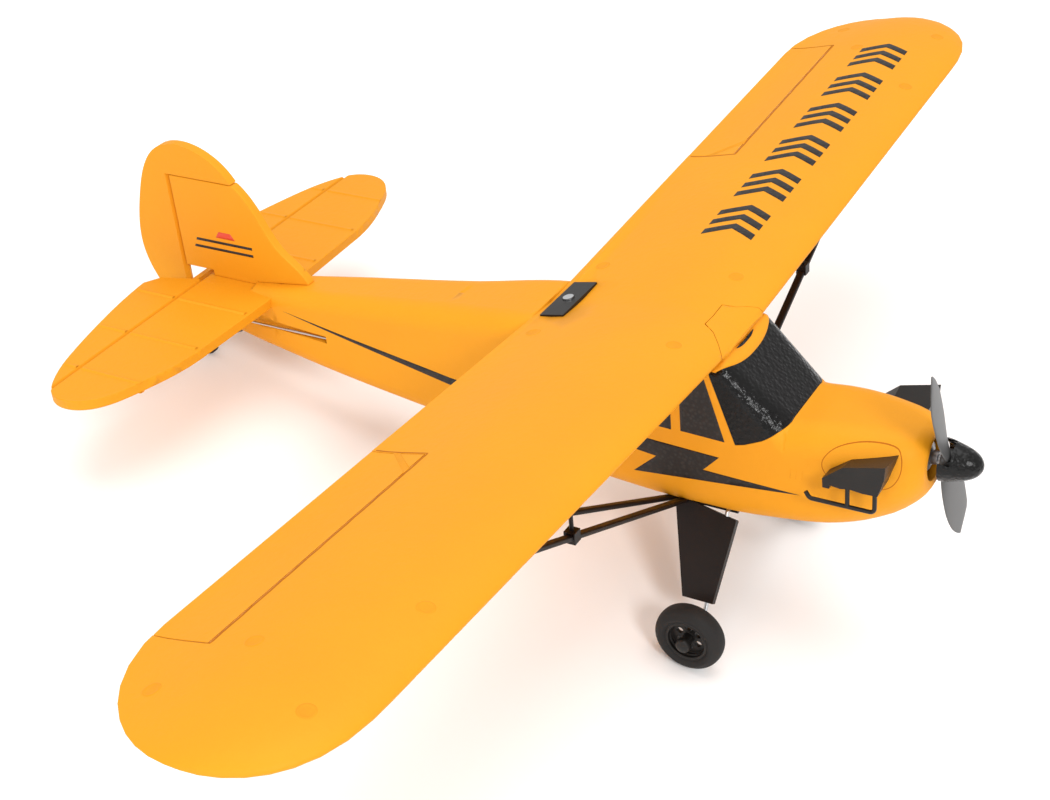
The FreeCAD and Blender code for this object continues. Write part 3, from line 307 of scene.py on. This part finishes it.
def decal(name, outlines, place, direction, tree, body, finish, step=2.0, lift=0.09):
    """Thin film over a surface. place turns (a, b) of the outlines into a flight-frame point."""
    whole = bmesh.new()
    for outline in outlines:
        part = tiled(outline, step)
        copies = {}
        for vertex in part.verts:
            spot = land(tree, place(vertex.co.x, vertex.co.y), direction, lift)
            copies[vertex] = whole.verts.new(spot)
        for face in part.faces:
            whole.faces.new([copies[vertex] for vertex in face.verts])
        part.free()
    toward = -(TILT @ direction)
    for face in whole.faces:
        face.normal_update()
        if face.normal.dot(toward) < 0:
            face.normal_flip()
    piece = finished(name, whole, body, finish, sharp=60)
    shell = piece.modifiers.new("film", "SOLIDIFY")
    shell.thickness, shell.offset = 0.2 * MM, -1
    return piece


def resample(points, step):
    """Points along a flight-frame polyline, no further apart than step."""
    result = [Vector(points[0])]
    for start, end in zip(points, points[1:]):
        start, end = Vector(start), Vector(end)
        count = max(1, math.ceil((end - start).length / step))
        result += [start.lerp(end, (i + 1) / count) for i in range(count)]
    return result


def smooth_path(points, count=6, closed=False):
    """Catmull-Rom curve through flight-frame points."""
    points = [Vector(point) for point in points]
    ends = (points[-1:], points[:2]) if closed else ([points[0] * 2 - points[1]], [points[-1] * 2 - points[-2]])
    padded = ends[0] + points + ends[1]
    result = []
    for p, q, r, s in zip(padded, padded[1:], padded[2:], padded[3:]):
        for i in range(count):
            t = i / count
            result.append(0.5 * (q * 2 + (r - p) * t + (p * 2 - q * 5 + r * 4 - s) * t * t
                                 + (q * 3 - p - r * 3 + s) * t ** 3))
    return result if closed else result + [points[-1]]


def bead(name, paths, direction, tree, body, finish, half=0.5, lift=0.05, step=2.0):
    """Low rounded line along paths on a surface: a seam where it is hardly raised, a rib where it is more."""
    across = ((-1, -0.08), (-0.6, lift * 0.8), (0, lift), (0.6, lift * 0.8), (1, -0.08))
    mesh = bmesh.new()
    for path in paths:
        points = resample(path, step)
        rows = []
        for i, point in enumerate(points):
            tangent = (points[min(i + 1, len(points) - 1)] - points[max(i - 1, 0)]).normalized()
            side = tangent.cross(direction).normalized()
            rows.append([mesh.verts.new(land(tree, point + side * (share * half), direction, raised))
                         for share, raised in across])
        for row, following in zip(rows, rows[1:]):
            for i in range(len(across) - 1):
                mesh.faces.new((row[i], row[i + 1], following[i + 1], following[i]))
    bmesh.ops.recalc_face_normals(mesh, faces=mesh.faces[:])
    return finished(name, mesh, body, finish, sharp=60)


def mould_marks(name, centres, place, direction, tree, body, radius=2.6):
    """Shallow round marks of the mould's pins, each a low rim round a flat."""
    rings = ((0.55, 0.03), (0.8, 0.06), (0.92, 0.17), (1.04, 0.13), (1.18, -0.06))
    turns = 20
    mesh = bmesh.new()
    for a, b in centres:
        loops = []
        for share, raised in rings:
            reach = radius * share
            spots = [place(a + reach * math.cos(math.tau * i / turns), b + reach * math.sin(math.tau * i / turns))
                     for i in range(turns)]
            loops.append([mesh.verts.new(land(tree, spot, direction, raised)) for spot in spots])
        mesh.faces.new(loops[0])
        for inner, outer in zip(loops, loops[1:]):
            for i in range(turns):
                mesh.faces.new((inner[i], inner[(i + 1) % turns], outer[(i + 1) % turns], outer[i]))
    bmesh.ops.recalc_face_normals(mesh, faces=mesh.faces[:])
    # slightly darker foam: painted shade of the pins' shallow dents
    return finished(name, mesh, body, SOFT_CREASE_SHADE, sharp=60)


def node_mesh(node, join=2e-6):
    """The node's mesh with its coincident vertices joined."""
    mesh = bmesh.new()
    mesh.from_mesh(frame["nodes"][node].data)
    bmesh.ops.remove_doubles(mesh, verts=mesh.verts[:], dist=join)
    return mesh


def round_edges(piece, bevel, segments=2, limit=40):
    """Rounds the edges sharper than limit degrees; bevel is in millimetres."""
    rounding = piece.modifiers.new("rounded_edges", "BEVEL")
    rounding.width, rounding.segments = bevel * MM, segments
    rounding.limit_method, rounding.angle_limit = "ANGLE", math.radians(limit)
    rounding.use_clamp_overlap = True
    rounding.harden_normals = True


def stands_for(node, mesh, bevel=0.0, sharp=32):
    """Shows a worked-up mesh in place of a CAD node."""
    piece = finished(f"{node}_look", mesh, bodies_of[node], FINISHES[slots[node]], node, sharp)
    if "custom_normal" in piece.data.attributes:
        piece.data.attributes.remove(piece.data.attributes["custom_normal"])
    if bevel:
        round_edges(piece, bevel)
    looks[node] = piece
    return piece


def refined(node, bevel=0.0, sharp=32):
    """Copy of a CAD node with flat faces joined and its hard edges rounded."""
    mesh = node_mesh(node)
    bmesh.ops.dissolve_limit(mesh, angle_limit=math.radians(0.6), verts=mesh.verts[:], edges=mesh.edges[:])
    return stands_for(node, mesh, bevel, sharp)


# ---- the hull: CAD stations are joined by straight rules, the foam runs through them in one curve --------

# y, half width, top, bottom, upper corner radius, lower corner radius
STATIONS = [
    (-84.5, 13.5, -28.5, -53.5, 12, 12.4), (-82.5, 16.5, -26.2, -57, 14, 15.2),
    (-79, 19, -24.6, -60.5, 15, 16.8), (-72, 21.8, -23.8, -65.6, 15.5, 17.5),
    (-57, 24.4, -23.6, -71.5, 14.5, 15.5), (-42, 25.5, -24.4, -75, 13.5, 14),
    (-28, 25.8, -26.2, -76.9, 13, 13.5), (0, 26, -1.0, -79.8, 7, 14), (25, 26, 0.5, -80, 7, 14),
    (60, 26, 0.3, -78, 8, 14), (94, 24.6, -0.8, -74.8, 10, 13), (143, 20.5, -7.7, -69.9, 11, 12),
    (207, 16, -16.6, -63, 9, 10), (247, 12.6, -22.2, -57.9, 7.5, 9), (271, 10.6, -25.4, -53.6, 6, 7.5),
    (292, 6.6, -28.2, -49.4, 4, 5), (306, 3, -30, -47, 2, 2.5)]
HULL_NOSE, HULL_TAIL = STATIONS[0][0], STATIONS[-1][0]
# the station where the cowl's top meets the windscreen; the top is straight from there to the next station
SCREEN_BASE = 6


def slope_at(column, i, first, last):
    """Monotone slope of a column of STATIONS at station i, inside the stretch first to last."""
    steps = [(STATIONS[k + 1][column] - STATIONS[k][column]) / (STATIONS[k + 1][0] - STATIONS[k][0])
             for k in (max(i - 1, first), min(i, last - 1))]
    return 0 if steps[0] * steps[1] <= 0 else 2 * steps[0] * steps[1] / (steps[0] + steps[1])


def hull_value(column, y, curved):
    """Value of a STATIONS column at y, straight between stations or curved through them."""
    k = next(k for k in range(len(STATIONS) - 1) if y <= STATIONS[k + 1][0] or k == len(STATIONS) - 2)
    (y0, v0), (y1, v1) = [(STATIONS[i][0], STATIONS[i][column]) for i in (k, k + 1)]
    t = (y - y0) / (y1 - y0)
    upper = column in (2, 4)
    if not curved or (upper and k == SCREEN_BASE):
        return v0 + (v1 - v0) * t
    first, last = (0, SCREEN_BASE) if upper and k < SCREEN_BASE else (0, len(STATIONS) - 1)
    if upper and k > SCREEN_BASE:
        first = SCREEN_BASE + 1
    m0, m1 = slope_at(column, k, first, last) * (y1 - y0), slope_at(column, k + 1, first, last) * (y1 - y0)
    return ((2 * t ** 3 - 3 * t ** 2 + 1) * v0 + (t ** 3 - 2 * t ** 2 + t) * m0
            + (3 * t ** 2 - 2 * t ** 3) * v1 + (t ** 3 - t ** 2) * m1)


def hull_ring(y, curved):
    """Flight-frame points round the hull at y: four corner arcs joined by straight sides."""
    half, top, bottom, upper, lower = [hull_value(column, y, curved) for column in range(1, 6)]
    corners = [(half - lower, bottom + lower, lower, -90), (half - upper, top - upper, upper, 0),
               (upper - half, top - upper, upper, 90), (lower - half, bottom + lower, lower, 180)]
    arcs = [[Vector((x + radius * math.cos(math.radians(start + 90 * i / 16)), y,
                     z + radius * math.sin(math.radians(start + 90 * i / 16)))) for i in range(17)]
            for x, z, radius, start in corners]
    ring = []
    for arc, following in zip(arcs, arcs[1:] + arcs[:1]):
        ring += arc + [arc[-1].lerp(following[0], i / 5) for i in range(1, 5)]
    return ring


def hull_tree(curved):
    """Search tree over the hull's skin, in the row frame."""
    if curved:
        places = [i * 1.5 + HULL_NOSE for i in range(261) if i * 1.5 + HULL_NOSE < HULL_TAIL]
    else:
        spread = {i * 3.0 - 84 for i in range(130)}
        places = [y for y in sorted({station[0] for station in STATIONS} | spread) if y <= HULL_TAIL]
    rows = [hull_ring(y, curved) for y in places]
    count = len(rows[0])
    points = [STANCE @ point for row in rows for point in row]
    faces = [(r * count + i, r * count + (i + 1) % count, (r + 1) * count + (i + 1) % count, (r + 1) * count + i)
             for r in range(len(rows) - 1) for i in range(count)]
    return BVHTree.FromPolygons(points, faces)


ruled_hull, curved_hull = hull_tree(False), hull_tree(True)


SLICE = 4                       # mm between the cuts that let a node bend along its length
SKIN_SEARCH, SKIN_LIMIT = 0.0002, 0.00007   # m; a vertex nearer to the ruled hull than the limit is on its skin


def on_curved_hull(node):
    """A node of the fuselage whose outer skin is carried onto the curved hull."""
    mesh = node_mesh(node)
    lengthwise = TILT @ Vector((0, 1, 0))
    along = [(STANCE.inverted() @ vertex.co).y for vertex in mesh.verts]
    y = math.ceil(min(along) / SLICE) * SLICE
    while y < max(along):
        bmesh.ops.bisect_plane(mesh, geom=mesh.verts[:] + mesh.edges[:] + mesh.faces[:], dist=1e-6,
                               plane_co=STANCE @ Vector((0, y, 0)), plane_no=lengthwise)
        y += SLICE
    for vertex in mesh.verts:
        near = ruled_hull.find_nearest(vertex.co, SKIN_SEARCH)
        if near[0] is not None and near[3] < SKIN_LIMIT:
            vertex.co = curved_hull.find_nearest(vertex.co)[0]
    return stands_for(node, mesh)


# ---- foam panels: seams, ribs and mould marks ------------------------------------------------------------

def wing_place(side):
    """Turns the left wing's own span station and chord station into a flight-frame point of one half."""
    turn = Matrix.Rotation(-DIHEDRAL, 3, "Y")

    def place(x, u):
        point = turn @ Vector((x, u, 8))
        return Vector((point.x * side, point.y, point.z))
    return place


SIDES = (("left", 1), ("right", -1))
for node in ("fuselage_right_half", "fuselage_left_half", "hatch_frame", "windscreen", "cowl"):
    on_curved_hull(node)
for node, edge in (("wing", 0), ("left_dummy_engine", 0.7), ("right_dummy_engine", 0.7),
                   ("left_leg_fairing", 0.5), ("right_leg_fairing", 0.5), ("gear_block", 0.6),
                   ("wing_screw_plate", 0.4), ("left_aileron", 0.25), ("right_aileron", 0.25),
                   ("left_front_strut", 0.3), ("left_rear_strut", 0.3), ("right_front_strut", 0.3),
                   ("right_rear_strut", 0.3), ("jury_struts", 0.4), ("spinner", 0.3)):
    refined(node, edge)
for node in ("stabiliser", "left_elevator", "right_elevator", "fin", "rudder"):
    refined(node, 0.7)
frame["nodes"]["elevator_joiner"].data.materials[0] = FINISHES["foam_yellow"]
wing_only = tree_of("wing")
body_tree = tree_of("fuselage_right_half", "fuselage_left_half")
cowl_tree = tree_of("cowl")
tail_tree = tree_of("stabiliser", "left_elevator", "right_elevator")
fin_tree = tree_of("fin", "rudder")
AILERON_START, AILERON_END, AILERON_HINGE = 143.2, 274.8, 67.9   # span stations and the hinge's chord station
RIB_HALF, RIB_LIFT = 1.3, 0.5
for side_name, side in SIDES:
    place = wing_place(side)
    start, end, hinge = AILERON_START, AILERON_END, AILERON_HINGE
    # the hinge and end lines of the aileron are dark orange, painted shade of the groove round the aileron
    seam = [place(x, u) for x, u in ((start, 92.5), (start, 80), (start, hinge + 0.2), (start + 1, hinge))]
    seam += [place(start + (end - start) * i / 24, hinge + 0.12 * math.sin(i * 2.3)) for i in range(1, 24)]
    seam += [place(x, u) for x, u in ((end - 1, hinge), (end, hinge + 0.2), (end, 80), (end, 92.5))]
    bead(f"{side_name}_aileron_crease", [seam], DOWN, wing_only, "airframe", CREASE_SHADE, 0.62, 0.05)
    marks = [(33, 85), (32, 18), (158, 82), (231, 12), (292, 16), (300, 72), (270, 53)]
    mould_marks(f"{side_name}_wing_marks", marks, place, DOWN, wing_only, "airframe", 3.0)
    below = [(60, 60), (110, 20), (120, 70), (230, 40), (262, 20), (290, 50)]
    mould_marks(f"{side_name}_wing_marks_below", below, place, UP, wing_only, "airframe", 3.0)
    ribs = [[Vector((side * x, y0, 0)), Vector((side * x, y1, 0))]
            for x, y0, y1 in ((29, 250, 291.4), (65, 251.5, 291.4), (100, 255, 291.4))]
    bead(f"{side_name}_stabiliser_ribs", ribs, DOWN, tail_tree, "airframe", FINISHES["foam_yellow"],
         RIB_HALF, RIB_LIFT)
    below_ribs = [[point - Vector((0, 0, 60)) for point in rib] for rib in ribs]
    bead(f"{side_name}_stabiliser_ribs_below", below_ribs, UP, tail_tree, "airframe", FINISHES["foam_yellow"],
         RIB_HALF, RIB_LIFT)
    flaps = [[Vector((side * x, 294.8, 0)), Vector((side * x, y1, 0))]
             for x, y1 in ((29, 317.5), (65, 311.8), (100, 302))]
    bead(f"{side_name}_elevator_ribs", flaps, DOWN, tail_tree, "elevator", FINISHES["foam_yellow"],
         RIB_HALF, RIB_LIFT)


# ---- decals ----------------------------------------------------------------------------------------------

FRONT_WINDOW = [(-1.2, -37.9), (7.6, -8.2), (19.4, -4.8), (19.4, -37.2)]
REAR_WINDOW = [(23.9, -37.6), (23.9, -4.6), (34, -4.6), (58, -36.6)]
BOLT = [(240, -30.6), (140, -41.4), (38, -45), (1.6, -46.5), (9.4, -54.8), (-34.9, -56.2), (43.2, -63.9),
        (31.8, -53.4), (43, -52.1), (141.7, -45.2)]
HULL_HALF = 26
flank_tree = tree_of("fuselage_right_half", "fuselage_left_half", "cowl")
for side_name, side in SIDES:
    toward = Vector((-side, 0, 0))

    def flank(y, z, side=side):
        return Vector((side * HULL_HALF, y, z))

    decal(f"{side_name}_windows", [FRONT_WINDOW, REAR_WINDOW], flank, toward, body_tree, "airframe", DECAL_BLACK)
    decal(f"{side_name}_bolt_stripe", [BOLT], flank, toward, flank_tree, "airframe", DECAL_BLACK, 3)


def chevron(x, half, width, low, high):
    """Arrow-shaped stroke across the wing's chord, its point towards the tip."""
    middle = (low + high) / 2
    return [(x, low), (x + width, low), (x + width + half, middle), (x + width, high), (x, high),
            (x + half, middle)]


chevrons = [chevron(62 + 36.6 * i + extra, 7, 4.8, 24, 49) for i in range(6) for extra in (0, 9, 18)]
decal("wing_chevrons", chevrons, wing_place(1), DOWN, wing_only, "airframe", DECAL_BLACK, 3)
for side_name, side in SIDES:
    toward = Vector((-side, 0, 0))

    def fin_side(y, z, side=side):
        return Vector((side * 6, y, z))

    bars = [[(262, -6.6), (297, -6.6), (296.4, -5.2), (262, -5.2)],
            [(262, -10.6), (298.8, -10.6), (298.2, -9.2), (262, -9.2)]]
    decal(f"{side_name}_fin_bars", bars, fin_side, toward, fin_tree, "airframe", DECAL_BLACK)
    accent = [[(272, -3.2), (284, -3.2), (281.6, 0.2), (274.4, 0.2)]]
    decal(f"{side_name}_fin_accent", accent, fin_side, toward, fin_tree, "airframe", DECAL_RED)


# ---- cowl, cabin and engine details ----------------------------------------------------------------------

for side_name, side in SIDES:
    toward = Vector((-side, 0, 0))
    oval = smooth_path([Vector((side * HULL_HALF, y, z)) for y, z in
                        ((-76, -31), (-72, -27.5), (-60, -27), (-50, -30), (-45, -36), (-46, -42), (-52, -46),
                         (-66, -46.5), (-73, -44.5), (-76.5, -38))], closed=True)
    # the panel line's dark orange is painted shade of its engraved groove
    bead(f"{side_name}_cowl_panel_line", [oval + oval[:1]], toward, cowl_tree, "airframe", CREASE_SHADE,
         0.3, 0.04)
    # the vents' slightly darker foam is painted shade of their slots
    vents = [[Vector((side * HULL_HALF, y, -48.5)), Vector((side * HULL_HALF, y - 0.4, -43.5))]
             for y in (-36, -33.4, -30.8)]
    bead(f"{side_name}_cowl_vents", vents, toward, cowl_tree, "airframe", SOFT_CREASE_SHADE, 0.4, 0.05)


def brow(tree):
    """Brow of foam over the windscreen, carried by the hatch."""
    strip = ((1, -0.1), (0.9, 0.3), (0.72, 0.5), (0.4, 0.55), (0.1, 0.55), (-0.35, 0.4), (-0.7, -0.1))
    into_screen = Vector((0, 0.67, -0.74))
    mesh = bmesh.new()
    rows = []
    for i in range(-36, 37):
        x = i * 0.7
        reach = 1 + 4.6 * (1 - abs(x / 25.4) ** 2.4)
        row = []
        for share, raised in strip:
            y = 0.6 - reach * share
            spot = Vector((x, y, -1 + 0.9 * min(y, 0)))
            row.append(mesh.verts.new(land(tree, spot, into_screen, raised)))
        rows.append(row)
    for row, following in zip(rows, rows[1:]):
        for i in range(len(row) - 1):
            mesh.faces.new((row[i], row[i + 1], following[i + 1], following[i]))
    bmesh.ops.recalc_face_normals(mesh, faces=mesh.faces[:])
    finished("hatch_brow", mesh, "hatch", FINISHES["foam_yellow"], sharp=60)


brow(tree_of("windscreen", "hatch_frame"))


# ---- turned and lofted pieces ----------------------------------------------------------------------------

def lathe(name, profile, place, body, finish, node=None, turns=64, sharp=35):
    """Profile of (radius, along) in mm turned round place's local Z; closed where it meets the axis."""
    mesh = bmesh.new()
    rings = []
    for radius, along in profile:
        if radius < 1e-6:
            rings.append([mesh.verts.new(STANCE @ place @ Vector((0, 0, along)))])
        else:
            angles = [math.tau * i / turns for i in range(turns)]
            spots = [Vector((radius * math.cos(angle), radius * math.sin(angle), along)) for angle in angles]
            rings.append([mesh.verts.new(STANCE @ place @ spot) for spot in spots])
    closed = len(rings[0]) > 1 and len(rings[-1]) > 1
    for low, high in zip(rings, rings[1:] + (rings[:1] if closed else [])):
        for i in range(turns):
            corners = [low[i % len(low)], low[(i + 1) % len(low)], high[(i + 1) % len(high)], high[i % len(high)]]
            mesh.faces.new(list(dict.fromkeys(corners)))
    bmesh.ops.recalc_face_normals(mesh, faces=mesh.faces[:])
    return finished(name, mesh, body, finish, node, sharp)


def loft(mesh, rings):
    """Closed skin through rings of flight-frame points."""
    rows = [[mesh.verts.new(STANCE @ point) for point in ring] for ring in rings]
    for row, following in zip(rows, rows[1:]):
        for i in range(len(row)):
            mesh.faces.new((row[i], row[(i + 1) % len(row)], following[(i + 1) % len(row)], following[i]))
    mesh.faces.new(rows[0][::-1])
    mesh.faces.new(rows[-1])


BLADE_TURN = math.radians(-25.9)
# radius, reach of the leading side, reach of the trailing side, pitch in degrees, thickness
BLADE = [(4, 4, -4, 24, 3.4), (8, 5.2, -5.2, 21, 2.9), (12, 6.4, -6.4, 17, 2.4), (18, 7.7, -7.6, 13, 1.9),
         (25, 8.4, -8.3, 11, 1.6), (33, 8.6, -8.6, 10, 1.4), (40, 8.1, -8.6, 9, 1.2), (46, 7.1, -8.3, 9, 1.05),
         (50, 6.1, -7.2, 9, 0.95), (54, 4.7, -4.2, 8.5, 0.85), (57, 3.3, -1.5, 8, 0.7), (59, 2.2, 0.3, 8, 0.55),
         (60, 1.3, 0.9, 8, 0.35)]
BLADE_ROOT = Vector((0, -89.5, -40))
RING_POINTS = 28
FRONT_SHARE, BACK_SHARE = 0.62, 0.38   # how the blade's thickness is shared between its faces
blades = bmesh.new()
for extra in (0, math.pi):
    turn = Matrix.Rotation(BLADE_TURN + extra, 3, "Y")
    rings = []
    for radius, lead, trail, pitch, thick in BLADE:
        twist = Matrix.Rotation(math.radians(pitch), 3, "Z")
        ring = []
        for i in range(RING_POINTS):
            angle = math.tau * i / RING_POINTS
            across = (lead + trail) / 2 + (lead - trail) / 2 * math.cos(angle)
            swell = thick * (FRONT_SHARE if math.sin(angle) < 0 else BACK_SHARE) * abs(math.sin(angle)) ** 0.8
            depth = -swell if math.sin(angle) < 0 else swell
            ring.append(turn @ (twist @ Vector((across, depth, 0)) + Vector((0, 0, radius))) + BLADE_ROOT)
        rings.append(ring)
    loft(blades, rings)
bmesh.ops.recalc_face_normals(blades, faces=blades.faces[:])
finished("propeller_blades", blades, "propeller", FINISHES["propeller_grey"], "propeller")
NOSEWARD = Matrix.Translation((0, 0, -40)) @ Matrix.Rotation(math.radians(90), 4, "X")
lathe("propeller_hub", [(1.4, 87.6), (4.4, 87.6), (5, 88.2), (5, 91.6), (4.6, 92.2), (1.4, 92.2)], NOSEWARD,
      "propeller", FINISHES["propeller_grey"], turns=40)


# ---- wheels ----------------------------------------------------------------------------------------------

WHEEL_RADIUS, WHEEL_WIDTH, RIM = 16, 12, 9.8
AXLE_X, AXLE_Y, AXLE_Z = 60, 2, -119.1
half_width = WHEEL_WIDTH / 2
tread = smooth_path([(RIM, 0, -half_width * 0.70), (RIM + 0.9, 0, -half_width * 0.86),
                     (RIM + 2.4, 0, -half_width * 0.95), (WHEEL_RADIUS - 2.6, 0, -half_width * 0.84),
                     (WHEEL_RADIUS - 0.8, 0, -half_width * 0.55), (WHEEL_RADIUS - 0.12, 0, -half_width * 0.2),
                     (WHEEL_RADIUS - 0.12, 0, half_width * 0.2), (WHEEL_RADIUS - 0.8, 0, half_width * 0.55),
                     (WHEEL_RADIUS - 2.6, 0, half_width * 0.84), (RIM + 2.4, 0, half_width * 0.95),
                     (RIM + 0.9, 0, half_width * 0.86), (RIM, 0, half_width * 0.70)], 6)
for side_name, side in SIDES:
    axle = Matrix.Translation((side * AXLE_X, AXLE_Y, AXLE_Z)) @ Matrix.Rotation(math.radians(90 * side), 4, "Y")
    lathe(f"{side_name}_tyre_look", [(point.x, point.z) for point in tread], axle, f"{side_name}_wheel",
          FINISHES["tyre_black"], f"{side_name}_tyre", turns=96, sharp=50)
    refined(f"{side_name}_hub", 0.25)
    lathe(f"{side_name}_rim_ring", [(8.0, 2.4), (9.2, 4.0), (9.9, 4.35), (9.9, 4.0), (9.4, 3.6), (8.3, 2.2)], axle,
          f"{side_name}_wheel", FINISHES["black_plastic"], turns=72)
    lathe(f"{side_name}_hub_cap", [(2.5, 5.4), (3.3, 5.6), (3.4, 6.0), (3.4, 7.6), (3.0, 8.3), (2.0, 8.75),
                                   (0, 8.85)], axle, f"{side_name}_wheel", FINISHES["black_plastic"],
          turns=48)
